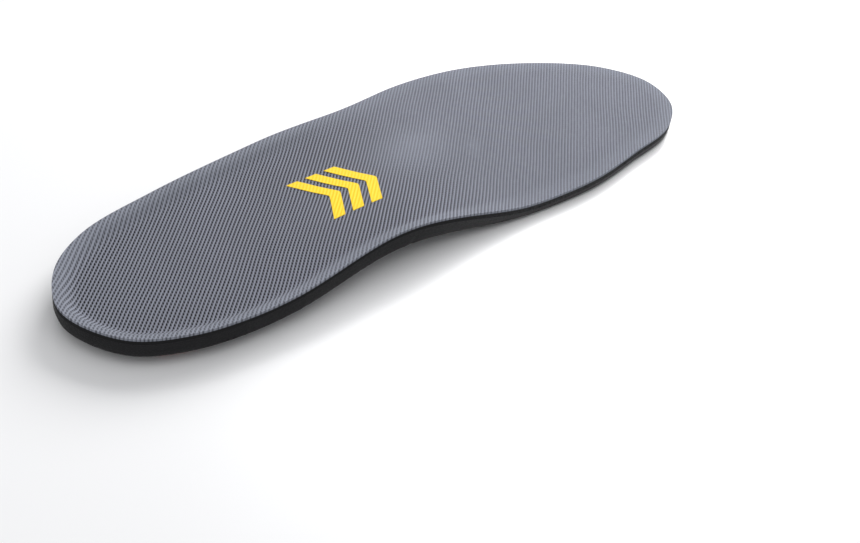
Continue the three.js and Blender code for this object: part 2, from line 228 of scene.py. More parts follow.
    def sides(self, x: Array) -> tuple[Array, Array]:
        """The inner and outer edge's y at each x.

        Args:
            x: Places along the insole.

        Returns:
            Both y values at each place.
        """
        low, high = self.edge[:, 0].argmin(), self.edge[:, 0].argmax()
        ring = np.roll(self.edge, -low, axis=0)
        tip = (high - low) % len(ring)
        outer, inner = ring[: tip + 1], np.vstack([ring[tip:], ring[:1]])[::-1]
        return np.interp(x, inner[:, 0], inner[:, 1]), np.interp(x, outer[:, 0], outer[:, 1])

    def grid(self, along: int, across: int) -> tuple[Array, Array]:
        """Plan points on a grid of two parameters u and v from -1 to 1.

        The square is pressed into a disc, X = u sqrt(1 - v^2/2) and Y = v sqrt(1 - u^2/2), and the disc is
        stretched onto the outline, so the grid's border is the insole's edge and no point is a pole.

        Args:
            along: Steps from heel to toe.
            across: Steps from side to side.

        Returns:
            The points' x and y, one row per step along.
        """
        u, v = np.meshgrid(np.linspace(-1, 1, along + 1), np.linspace(-1, 1, across + 1), indexing="ij")
        disc_x, disc_y = u * np.sqrt(1 - v * v / 2), v * np.sqrt(1 - u * u / 2)
        low, high = self.edge[:, 0].min(), self.edge[:, 0].max()
        x = low + (high - low) * (1 + disc_x) / 2
        inner, outer = self.sides(x)
        chord = np.sqrt(np.clip(1 - disc_x**2, 1e-12, None))
        share = np.clip(disc_y / chord, -1, 1)
        return x, (inner + outer) / 2 + share * (outer - inner) / 2

    def moulded(self, x: Array) -> Array:
        """Share of the moulded, walled form left at x."""
        return 1.0 - ease(self.mould_end - self.arch_reach, self.mould_end, x)

    def arch(self, x: Array, y: Array) -> Array:
        """Share of the arch's rise at a plan point."""
        return bump(self.arch_x, self.arch_reach, x) * ease(self.arch_start, -self.waist_medial, y)

    def cover_top(self, x: Array, y: Array, inset: Array) -> Array:
        """Height of the cover: heel seat falling to the forefoot, plus cup wall, arch and ball dome.

        Args:
            x, y: Plan points.
            inset: Their distances from the edge.

        Returns:
            Heights.
        """
        fall = (self.heel_seat - self.forefoot_height) * ease(self.heel_pad_x, self.mould_end, x)
        wall = np.clip(1 - inset / self.cup_wall, 0, 1) ** 2
        rise = self.cup_depth * wall * self.moulded(x) + self.arch_rise * self.arch(x, y)
        return self.heel_seat - fall + rise + self.dome_rise * self.dome(x, y)

    def dome(self, x: Array, y: Array) -> Array:
        """Share of the dome's rise behind the ball of the foot."""
        along = (x - self.ball_x + self.dome_back) / (self.dome_length / 2)
        return 1 - ease(0, 1, np.hypot(along, (y - self.dome_y) / (self.dome_width / 2)))

    def face(self, x: Array, y: Array, inset: Array) -> Array:
        """The cover as it lies: rolled down at the edge, with a bead on the rim and a crease inside it.

        Args:
            x, y: Plan points.
            inset: Their distances from the edge.

        Returns:
            Heights.
        """
        walled = self.moulded(x)
        roll = self.roll * np.clip(1 - inset / self.roll_width, 0, 1) ** 2
        roll = roll * (self.cut_roll + (1 - self.cut_roll) * walled)
        bead = self.bead * np.exp(-(((inset - self.bead_inset) / self.bead_width) ** 2))
        crease = self.crease * np.exp(-(((inset - self.crease_inset) / self.crease_width) ** 2))
        return self.cover_top(x, y, inset) - roll + (bead - crease) * walled

    def base_top(self, x: Array, y: Array, inset: Array) -> Array:
        """Height of the base's upper face, below both other layers."""
        return self.cover_top(x, y, inset) - self.cover - self.foam - 2 * self.bond

    def base_bottom(self, x: Array, y: Array, inset: Array) -> Array:
        """Height of the plain underside: level, swept up under the arch, and curled up to the lip.

        Args:
            x, y: Plan points.
            inset: Their distances from the edge.

        Returns:
            Heights.
        """
        reach = bump(self.arch_x, self.arch_reach, x)
        floor = self.proud + self.sole_sweep * reach * ease(self.sweep_start, -self.waist_medial, y)
        tuck = self.edge_inset + (self.heel_inset - self.edge_inset) * self.moulded(x)
        tuck = tuck + (self.arch_inset - self.heel_inset) * self.arch(x, y)
        out = np.clip(1 - inset / tuck, 0, 1)
        room = self.base_top(x, y, np.zeros_like(x)) - floor
        return floor + np.maximum(self.least_curl * room, room - self.lip) * (1 - np.sqrt(1 - out * out))


# ---------------------------------------------------------------- meshes


def add_mesh(name: str, points: Array, faces: Sequence[Array], plan: Plan,
             sharp: float = 40.0) -> bpy.types.Object:
    """Puts plan points and faces into a smooth-shaded object at the origin.

    Args:
        name: The piece's name.
        points: N x 3 plan points in millimetres.
        faces: Arrays of corner numbers, each with one row per face.
        plan: Gives the frame's origin.
        sharp: Edges that turn by more than this many degrees stay crisp.

    Returns:
        The new object, linked to the scene.
    """
    place = (points - [plan.middle[0], plan.middle[1], 0.0]) * MM
    corners = np.concatenate([f.ravel() for f in faces]).astype(np.int32)
    sizes = np.concatenate([np.full(len(f), f.shape[1]) for f in faces]).astype(np.int32)
    mesh = bpy.data.meshes.new(name)
    mesh.vertices.add(len(place))
    mesh.vertices.foreach_set("co", place.astype(np.float32).ravel())
    mesh.loops.add(len(corners))
    mesh.loops.foreach_set("vertex_index", corners)
    mesh.polygons.add(len(sizes))
    mesh.polygons.foreach_set("loop_start", (np.cumsum(sizes) - sizes).astype(np.int32))
    mesh.update(calc_edges=True)
    mesh.validate()
    mesh.polygons.foreach_set("use_smooth", np.ones(len(mesh.polygons), bool))
    mesh.set_sharp_from_angle(angle=math.radians(sharp))
    return put(name, mesh)


def put(name: str, data: bpy.types.ID, rows: Array | None = None,
        place: Sequence[float] = ()) -> bpy.types.Object:
    """Links a new object, its axes along the given rows and at a place in metres, or at the origin.

    Args:
        name: The object's name.
        data: The mesh, camera or light it holds.
        rows: Its three axes, one per row.
        place: Its place in metres.

    Returns:
        The object.
    """
    made = bpy.data.objects.new(name, data)
    if rows is not None:
        made.matrix_world = Matrix([[*rows[:, k], place[k]] for k in range(3)] + [[0, 0, 0, 1]])
    bpy.context.scene.collection.objects.link(made)
    return made


def paint(piece: bpy.types.Object, name: str, values: Array) -> None:
    """Stores one number per vertex, for a material to read."""
    layer = piece.data.attributes.new(name, "FLOAT", "POINT")
    layer.data.foreach_set("value", values.astype(np.float32).ravel())


def quads(rows: int, columns: int) -> Array:
    """Faces of a grid of points numbered row by row, facing up when both parameters run as x and y."""
    first = (np.arange(rows - 1)[:, None] * columns + np.arange(columns - 1)[None, :]).ravel()
    return np.stack([first, first + columns, first + columns + 1, first + 1], 1)


def border(rows: int, columns: int) -> Array:
    """Numbers of a grid's border points, once round anticlockwise seen from above.

    Args:
        rows, columns: The grid's size.

    Returns:
        The numbers in order.
    """
    near = np.arange(rows) * columns
    end = (rows - 1) * columns + np.arange(1, columns)
    far = np.arange(rows - 2, -1, -1) * columns + columns - 1
    start = np.arange(columns - 2, 0, -1)
    return np.concatenate([near, end, far, start])


def band(lower: Array, upper: Array) -> Array:
    """Faces between two closed loops of point numbers, facing out when the loops run anticlockwise."""
    return np.stack([lower, np.roll(lower, -1), np.roll(upper, -1), upper], 1)


def evenly(raw: Array) -> Array:
    """A closed line's points moved along it until they are evenly spaced.

    Args:
        raw: N x 2 points in order.

    Returns:
        N x 2 points.
    """
    closed = np.vstack([raw, raw[:1]])
    place = np.concatenate([[0], np.cumsum(np.hypot(*np.diff(closed, axis=0).T))])
    even = np.arange(len(raw)) * place[-1] / len(raw)
    return np.stack([np.interp(even, place, closed[:, k]) for k in (0, 1)], 1)


def chain(edges: Array) -> Array:
    """Puts a closed loop's edges in order: each pass doubles the run by hopping twice as far.

    Args:
        edges: N x 2 point numbers, each edge from its first point to its second.

    Returns:
        N point numbers in order.
    """
    following = np.zeros(edges.max() + 1, np.int64)
    following[edges[:, 0]] = edges[:, 1]
    run = edges[:1, 0]
    while len(run) < len(edges):
        run = np.concatenate([run, following[run]])
        following = following[following]
    return run[: len(edges)]


RING_SHARES = (1.0, 0.988, 0.965, 0.93, 0.87, 0.72, 0.45, 0.2)
RING_MIDDLE = (0.47, 3.0)  # share of the length, and millimetres
CAP_SHARES = (0.94, 0.8, 0.55, 0.25)
ROUND_POINTS = 6


def rings(plan: Plan, edge: Array, loop: Array, start: int, height: Callable[..., Array],
          first: Array) -> tuple[list[Array], list[Array]]:
    """Closes a face inside a loop with shrinking copies of it and a middle point.

    Args:
        plan: Gives each ring's distance from the edge.
        edge: The loop's plan points, anticlockwise.
        loop: The loop's point numbers.
        start: The number of the first new point.
        height: Height of a plan point from x, y and inset.
        first: Height of the outermost new ring, which lies straight above or below the loop.

    Returns:
        The new points and the faces, which face up; the caller turns them round for an underside.
    """
    middle, size = np.array([RING_MIDDLE[0] * plan.length, RING_MIDDLE[1]]), len(loop)
    points, faces, previous = [np.column_stack([edge, first])], [], loop
    for number, share in enumerate(RING_SHARES):
        if number:
            ring = middle + (edge - middle) * share
            points.append(np.column_stack([ring, height(*ring.T, plan.inset(*ring.T))]))
        now = start + number * size + np.arange(size)
        faces.append(band(previous, now))
        previous = now
    peak = height(middle[:1], middle[1:], np.array([plan.cup_wall]))
    points.append(np.array([[*middle, float(peak[0])]]))
    faces.append(np.stack([previous, np.roll(previous, -1), np.full(size, previous[-1] + 1)], 1))
    return points, faces


def sheet_mesh(x: Array, y: Array, low: Array, high: Array) -> tuple[Array, list[Array]]:
    """A closed sheet over a plan grid, between two height fields, with an upright edge.

    Args:
        x, y: The grid.
        low, high: Heights of the two faces.

    Returns:
        Points and faces.
    """
    rows, columns = x.shape
    top = np.stack([x, y, high], -1).reshape(-1, 3)
    under = np.stack([x, y, low], -1).reshape(-1, 3)
    loop, count = border(rows, columns), rows * columns
    face = quads(rows, columns)
    return np.vstack([top, under]), [face, face[:, ::-1] + count, band(loop + count, loop)]


def slab_mesh(outline: Array, low: float, high: float, radius: float) -> tuple[Array, list[Array]]:
    """A flat slab with rounded edges.

    The outline is carried round a profile: up the lower quarter round, the upright side, the upper quarter
    round, then in over the top in shrinking copies to the middle, and the same underneath.

    Args:
        outline: N x 2 plan points, anticlockwise.
        low: Height of the underside.
        high: Height of the top.
        radius: Radius of the rounded edges.

    Returns:
        Points and faces.
    """
    middle, size = outline.mean(0), len(outline)
    ahead = np.roll(outline, -1, 0) - np.roll(outline, 1, 0)
    inward = np.stack([-ahead[:, 1], ahead[:, 0]], 1) / np.hypot(ahead[:, 0], ahead[:, 1])[:, None]
    turn = np.linspace(0, math.pi / 2, ROUND_POINTS)
    profile = [(radius * (1 - math.sin(a)), low + radius * (1 - math.cos(a))) for a in turn]
    profile += [(radius * (1 - math.cos(a)), high - radius * (1 - math.sin(a))) for a in turn]
    loops = [np.column_stack([outline + inward * inset, np.full(size, z)]) for inset, z in profile]
    edge = outline + inward * radius
    for share in CAP_SHARES:
        ring = middle + (edge - middle) * share
        loops.append(np.column_stack([ring, np.full(size, high)]))
        loops.insert(0, np.column_stack([ring, np.full(size, low)]))
    numbers = np.arange(len(loops) * size).reshape(-1, size)
    faces = np.concatenate([band(numbers[i], numbers[i + 1]) for i in range(len(loops) - 1)])
    first, last, ends = numbers[0], numbers[-1], numbers.size
    cap = np.stack([last, np.roll(last, -1), np.full(size, ends + 1)], 1)
    foot = np.stack([np.roll(first, -1), first, np.full(size, ends)], 1)
    return np.vstack([*loops, [*middle, low], [*middle, high]]), [faces, cap, foot]


# ---------------------------------------------------------------- shader expressions


class Wire:
    """A socket that takes part in arithmetic: each operator adds one Math node."""

    def __init__(self, bench: "Bench", socket: bpy.types.NodeSocket) -> None:
        """Wraps one output socket of a bench's tree."""
        self.bench = bench
        self.socket = socket

    def math(self, operation: str, *others: Any) -> "Wire":
        """This value and others through a Math node."""
        values = dict(enumerate((self, *others)))
        return self.bench.node("ShaderNodeMath", {"operation": operation}, values)

    def __add__(self, other: Any) -> "Wire":
        """Sum."""
        return self.math("ADD", other)

    __radd__ = __add__

    def __mul__(self, other: Any) -> "Wire":
        """Product."""
        return self.math("MULTIPLY", other)

    __rmul__ = __mul__

    def __sub__(self, other: Any) -> "Wire":
        """Difference."""
        return self.math("SUBTRACT", other)

    def __rsub__(self, other: Any) -> "Wire":
        """Reflected difference."""
        return self * -1.0 + other

    def cos(self) -> "Wire":
        """Cosine."""
        return self.math("COSINE")

    def step(self, start: float, end: float) -> "Wire":
        """Smooth step from 0 at start to 1 at end."""
        values = {0: self, 1: start, 2: end, 3: 0.0, 4: 1.0}
        return self.bench.node("ShaderNodeMapRange", {"interpolation_type": "SMOOTHSTEP"}, values)


class Bench:
    """One material's node tree, with its Principled shader."""

    def __init__(self, name: str) -> None:
        """Makes an empty material with a Principled shader and its output.

        Args:
            name: The material's name.
        """
        self.material = bpy.data.materials.new(name)
        self.material.use_nodes = True
        self.tree = self.material.node_tree
        self.tree.nodes.clear()
        self.shader = self.tree.nodes.new("ShaderNodeBsdfPrincipled")
        output = self.tree.nodes.new("ShaderNodeOutputMaterial")
        self.tree.links.new(self.shader.outputs[0], output.inputs[0])

    def node(self, kind: str, settings: dict[str, Any], values: dict[Any, Any], output: Any = 0) -> Wire:
        """Adds a node.

        Args:
            kind: The node's type.
            settings: Properties, set before the sockets.
            values: Numbers, colours or wires by socket name or number.
            output: The socket to hand back.

        Returns:
            The chosen output.
        """
        made = self.tree.nodes.new(kind)
        for key, value in settings.items():
            setattr(made, key, value)
        self.feed(made.inputs, values)
        return Wire(self, made.outputs[output])

    def feed(self, sockets: Any, values: dict[Any, Any]) -> None:
        """Links each wire to its socket, and gives each number or colour to its own.

        Args:
            sockets: A node's inputs.
            values: Numbers, colours or wires by socket name or number.
        """
        for key, value in values.items():
            if isinstance(value, Wire):
                self.tree.links.new(value.socket, sockets[key])
            else:
                sockets[key].default_value = value

    def place(self) -> Wire:
        """Object coordinates, in metres."""
        return self.node("ShaderNodeTexCoord", {}, {}, "Object")

    def axes(self) -> tuple[Wire, Wire, Wire]:
        """Object coordinates in millimetres, one by one."""
        split = self.node("ShaderNodeSeparateXYZ", {}, {0: self.place()})
        return tuple(Wire(self, output) * (1 / MM) for output in split.socket.node.outputs)

    def noise(self, size: float, detail: float = 2.0) -> Wire:
        """Noise about 0.5 whose features are about size millimetres across."""
        values = {"Vector": self.place(), "Scale": 1.0 / (size * MM), "Detail": detail}
        return self.node("ShaderNodeTexNoise", {}, values)

    def cells(self, size: float, feature: str, disorder: float = 1.0) -> Wire:
        """Distance to the nearest point, or to the edge, of cells about size millimetres across."""
        values = {"Vector": self.place(), "Scale": 1.0 / (size * MM), "Randomness": disorder}
        return self.node("ShaderNodeTexVoronoi", {"feature": feature}, values)

    def attribute(self, name: str) -> Wire:
        """A number painted on the mesh."""
        return self.node("ShaderNodeAttribute", {"attribute_name": name}, {}, "Fac")

    def mix(self, share: Any, first: Any, second: Any) -> Wire:
        """Two colours mixed."""
        values = {0: share, 6: first, 7: second}
        return self.node("ShaderNodeMix", {"data_type": "RGBA"}, values, 2)

    def relief(self, height: Wire, depth: float) -> None:
        """Bends the shader's normal by a height pattern of the given depth in millimetres."""
        bent = self.node("ShaderNodeBump", {}, {"Height": height, "Distance": depth * MM, "Strength": 1.0})
        self.set(Normal=bent)

    def set(self, **values: Any) -> None:
        """Sets or links the shader's sockets; an underscore in a name stands for a space."""
        named = {key.replace("_", " "): value for key, value in values.items()}
        self.feed(self.shader.inputs, named)


Colour = tuple[float, float, float, float]


def grey(value: float, warm: float = 0.0) -> Colour:
    """A near-neutral colour, a little blue when warm is negative."""
    return (value * (1 + warm), value, value * (1 - warm), 1.0)


@dataclass(frozen=True)
class Knit:
    """The cover's mesh knit: straight ribs, and a row of holes in the valley between each two.

    The lattice has two steps: `rib_step` crosses from rib to rib, `loop_step` runs along a rib from one
    hole to the next.
    """

    rib_angle: float = 41.0
    row_angle: float = -42.0
    rib_step: float = 1.2
    loop_step: float = 1.38
    hole_depth: float = 0.42
    bridge_depth: float = 0.08
    knot_rise: float = 0.03
    sway: float = 0.11
    sway_length: float = 58.0
    bend: float = 0.00012
    straight_x: float = 135.0
    rounds: int = 12

    def steps(self) -> tuple[Array, Array]:
        """The plan vectors from rib to rib and from loop to loop.

        Returns:
            Two plan vectors in millimetres.
        """
        rib, row = math.radians(self.rib_angle), math.radians(self.row_angle)
        across = self.rib_step * np.array([math.cos(row), math.sin(row)])
        along = self.loop_step * np.array([math.cos(rib), math.sin(rib)])
        return across, along

    def drift(self, x: Array, y: Array) -> tuple[Array, Array]:
        """How far the fabric is pulled from its straight lattice: two slow waves and a gentle bend.

        Args:
            x, y: Plan points.

        Returns:
            Shifts in x and in y.
        """
        turn = math.tau / self.sway_length
        x_turn, y_turn = x * turn, y * turn
        first = np.sin(x_turn + 1.3 * np.sin(y_turn * 0.8)) + 0.5 * np.sin(y_turn * 2.1 + x_turn * 1.4)
        second = np.sin(y_turn * 1.2 + 0.9 * np.sin(x_turn * 0.7)) + 0.4 * np.sin(x_turn * 2.3)
        return self.sway * first, self.sway * second - self.bend * (x - self.straight_x) ** 2

    def numbers(self, x: Array, y: Array) -> tuple[Array, Array]:
        """How many ribs and how many loops along a plan point lies.

        Args:
            x, y: Plan points.

        Returns:
            Ribs and loops.
        """
        back = np.linalg.inv(np.stack(self.steps(), 1))
        dx, dy = self.drift(x, y)
        ribs, loops = (row[0] * (x + dx) + row[1] * (y + dy) for row in back)
        return ribs, loops

    def mark(self, piece: bpy.types.Object, points: Array) -> None:
        """Stores each point's rib and loop numbers on a piece, for its material."""
        for name, values in zip(("ribs", "loops"), self.numbers(points[:, 0], points[:, 1])):
            paint(piece, name, values)

    def place(self, ribs: Array, loops: Array) -> tuple[Array, Array]:
        """The plan point at a number of ribs and loops: the straight lattice less the drift found there.

        Args:
            ribs, loops: Numbers along the lattice.

        Returns:
            The points' x and y.
        """
        across, along = self.steps()
        straight_x, straight_y = (ribs * across[axis] + loops * along[axis] for axis in (0, 1))
        x, y = straight_x, straight_y
        for _ in range(self.rounds):
            dx, dy = self.drift(x, y)
            x, y = straight_x - dx, straight_y - dy
        return x, y


@dataclass(frozen=True)
class KnitFinish:
    """Light and dark of the knitted polyester."""

    rib: Colour = (0.268, 0.277, 0.336, 1.0)
    valley: Colour = (0.14, 0.145, 0.177, 1.0)
    hole: Colour = (0.001, 0.001, 0.0015, 1.0)
    roughness: float = 0.82
    closing: tuple[float, float] = (-25.0, 40.0)

    def material(self) -> bpy.types.Material:
        """Ribs and holes follow the lattice that shapes the mesh, with yarn twist and pile on top, and a
        painted highlight along the rim and over the dome.

        Returns:
            The material.
        """
        bench = Bench("knit_fabric")
        ribs, loops = bench.attribute("ribs") * math.tau, bench.attribute("loops") * math.tau
        stretch_and_highlight, closed = bench.attribute("stretch_and_highlight"), bench.axes()[0].step(*self.closing)
        gap = (loops + ribs).cos() * 0.5 + 0.5
        sway = (loops + 1.6).cos() * 0.3 * (1 - closed * 0.5)
        crest = ((ribs + sway).cos() * -0.5 + 0.5 - gap * 0.3).step(0.0, 0.66)
        hole = gap.step(0.22, 0.6) * (1 - crest.step(0.35, 1.0))
        yarn = (ribs * 3.0 + loops * 2.0).cos() * 0.5 + 0.5
        pile, cloud = bench.noise(0.75, 3.0), bench.noise(24.0)
        # Valleys filled towards the rib colour: closed knit on the forefoot, and a painted highlight on the
        # rim and the dome.
        filled_and_highlight = stretch_and_highlight * 0.25 + closed * 0.08
        knot = (loops + 2.6).cos() * 0.5 + 0.5
        beaded = crest * (1 - (1 - knot) * (closed * 0.32 + 0.1))
        body = bench.mix(beaded * (1 - filled_and_highlight) + filled_and_highlight, self.valley, self.rib)
        body = bench.mix(yarn * 0.2 * crest, body, grey(0.13, -0.08))
        body = bench.mix(pile.step(0.42, 0.7) * (closed * 0.2 + 0.12), body, grey(0.34, -0.1))
        # Painted highlight: the rim and the dome are lightened towards pale grey.
        body = bench.mix(stretch_and_highlight * 0.13, body, grey(0.42, -0.1))
        body = bench.mix(cloud.step(0.3, 0.75) * 0.12, body, grey(0.12, -0.08))
        shown = hole * (1 - stretch_and_highlight * 0.5) * (1 - closed * 0.62)
        bench.set(Base_Color=bench.mix(shown, body, self.hole), Roughness=self.roughness)
        bench.set(Specular_IOR_Level=0.2)
        bench.relief(beaded * 0.75 + yarn * crest * 0.3 + pile * 0.45 - shown * 0.8, 0.15)
        return bench.material


@dataclass(frozen=True)
class CutFoamFinish:
    """Open-cell foam, seen only where it was cut."""

    skin: Colour = (0.05, 0.05, 0.052, 1.0)
    pore: Colour = (0.012, 0.012, 0.013, 1.0)
    # The heel's colour: squeezed foam, and painted shade under the cover's rim.
    pressed_and_shaded: Colour = (0.011, 0.011, 0.012, 1.0)
    cut: tuple[float, float] = (-20.0, 50.0)

    def material(self) -> bpy.types.Material:
        """Small cells with dark pores and crumbly walls; dark and closed towards the heel, squeezed there
        by the mould and darkened as painted shade under the cover's rim.

        Returns:
            The material.
        """
        bench = Bench("cut_foam")
        cut = bench.axes()[0].step(*self.cut)
        cell = bench.cells(0.55, "F1")
        crumb = bench.noise(0.8, 3.0)
        body = bench.mix(cell.step(0.25, 0.6) * crumb.step(0.3, 0.6), self.skin, self.pore)
        # Towards the heel the foam takes the dark colour: squeezed foam with painted shade under the
        # cover's rim.
        bench.set(Base_Color=bench.mix(cut, self.pressed_and_shaded, body), Roughness=0.93, Specular_IOR_Level=0.2)
        bench.relief((1 - cell.step(0.1, 0.7) + crumb * 0.6) * (cut * 0.85 + 0.15), 0.2)
        return bench.material


@dataclass(frozen=True)
class MouldedFinish:
    """Black moulded foam with a fine grain, fainter on its walls."""

    skin: Colour = (0.0085, 0.0085, 0.0095, 1.0)
    worn: Colour = (0.022, 0.022, 0.0235, 1.0)
    shade: Colour = (0.0015, 0.0015, 0.0017, 1.0)
    grain: float = 0.95
    gloss: float = 0.36

    def material(self) -> bpy.types.Material:
        """Leather-like grain, round knobs in the dish, painted shade in the grooves and pad gaps, and walls
        that are more matt.

        Returns:
            The material.
        """
        bench = Bench("moulded_foam")
        dish, wall, slot = (bench.attribute(name) for name in ("dish", "wall", "slot"))
        grain = bench.cells(self.grain, "DISTANCE_TO_EDGE").step(0.02, 0.24)
        fine, cloud = bench.noise(0.3, 3.0), bench.noise(14.0)
        knob = 1 - bench.cells(1.5, "F1", 0.3).step(0.12, 0.5)
        body = bench.mix(cloud.step(0.35, 0.8) * 0.4 + fine.step(0.55, 0.8) * 0.2, self.skin, self.worn)
        # Painted shade: the grooves and the gaps round the pads are darkened by the slot share.
        bench.set(Base_Color=bench.mix(slot * 0.85, body, self.shade))
        bench.set(Roughness=cloud * 0.12 + (1 - grain) * 0.12 + wall * 0.12 + slot * 0.25 + self.gloss)
        bench.set(Specular_IOR_Level=(1 - wall) * 0.26 + 0.16)
        skin = (grain * 0.5 + fine * 0.3) * (1 - wall * 0.4) * (1 - dish * 0.6)
        bench.relief(skin + knob * dish * 1.1, 0.16)
        return bench.material


@dataclass(frozen=True)
class PadFinish:
    """Red elastomer."""

    red: Colour = (0.8, 0.008, 0.006, 1.0)
    deep: Colour = (0.6, 0.005, 0.004, 1.0)

    def material(self) -> bpy.types.Material:
        """Even satin red with faint clouding, pinholes and specks of dust.

        Returns:
            The material.
        """
        bench = Bench("red_elastomer")
        cloud, speck = bench.noise(9.0, 3.0), bench.cells(3.2, "F1")
        skin = bench.mix(cloud.step(0.35, 0.75) * 0.16, self.red, self.deep)
        bench.set(Base_Color=bench.mix((1 - speck.step(0.03, 0.07)) * 0.4, skin, (0.35, 0.01, 0.01, 1.0)))
        bench.set(Roughness=cloud * 0.12 + 0.4, Specular_IOR_Level=0.35)
        bench.set(Subsurface_Weight=0.08, Subsurface_Radius=(0.003, 0.0008, 0.0005), Subsurface_Scale=1.0)
        bench.relief(bench.noise(0.5, 4.0) * 0.6 + bench.noise(2.5) + speck.step(0.0, 0.09) * 0.5, 0.05)
        return bench.material


@dataclass(frozen=True)
class ShankFinish:
    """Smooth black moulded plastic."""

    black: Colour = (0.009, 0.009, 0.0105, 1.0)

    def material(self) -> bpy.types.Material:
        """Semi-gloss with faint flow marks and hairline scratches.

        Returns:
            The material.
        """
        bench = Bench("shank_plastic")
        flow, scuff = bench.noise(7.0, 3.0), bench.noise(1.1, 5.0).step(0.62, 0.75)
        bench.set(Base_Color=bench.mix(scuff * 0.25, self.black, grey(0.04)))
        bench.set(Roughness=flow * 0.16 + scuff * 0.2 + 0.22)
        bench.relief(flow + bench.noise(0.4) * 0.2, 0.03)
        return bench.material


@dataclass(frozen=True)
class FilmFinish:
    """Yellow heat-transfer film that shows the ribs it was ironed onto."""

    yellow: Colour = (0.94, 0.64, 0.009, 1.0)
    # Painted shade colour for the film in the knit's valleys.
    low: Colour = (0.84, 0.5, 0.006, 1.0)

    def material(self) -> bpy.types.Material:
        """Matt film, with painted shade in the valleys it dips into.

        Returns:
            The material.
        """
        bench = Bench("yellow_film")
        crest = (bench.attribute("ribs") * math.tau).cos() * -0.5 + 0.5
        loop = (bench.attribute("loops") * math.tau).cos() * 0.5 + 0.5
        shaded_dip = (1 - crest) * (loop * 0.6 + 0.4)
        # Painted shade: the film darkens towards the low colour in the valleys.
        bench.set(Base_Color=bench.mix(shaded_dip * 0.65 + bench.noise(6.0) * 0.25, self.yellow, self.low))
        bench.set(Roughness=bench.noise(0.4, 3.0) * 0.2 + 0.5, Specular_IOR_Level=0.3)
        bench.relief(crest * 0.8 - shaded_dip * 0.5 + bench.noise(0.3) * 0.25, 0.09)
        return bench.material


# ---------------------------------------------------------------- pieces


@dataclass
class Piece:
    """Shared ways of the insole's pieces."""

    plan: Plan

    def fit(self, piece: bpy.types.Object, node: str, slot: Slot,
            material: bpy.types.Material) -> bpy.types.Object:
        """Dresses a piece, lets it ride and stand for its CAD node, and reports it.

        Args:
            piece: The object.
            node: The CAD node it stands for.
            slot: Its material slot; not used.
            material: Its look.

        Returns:
            The same object.
        """
        piece.data.materials.append(material)
        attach(piece, "root")
        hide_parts(node)
        log.info("%s: %d faces", piece.name, len(piece.data.polygons))
        return piece


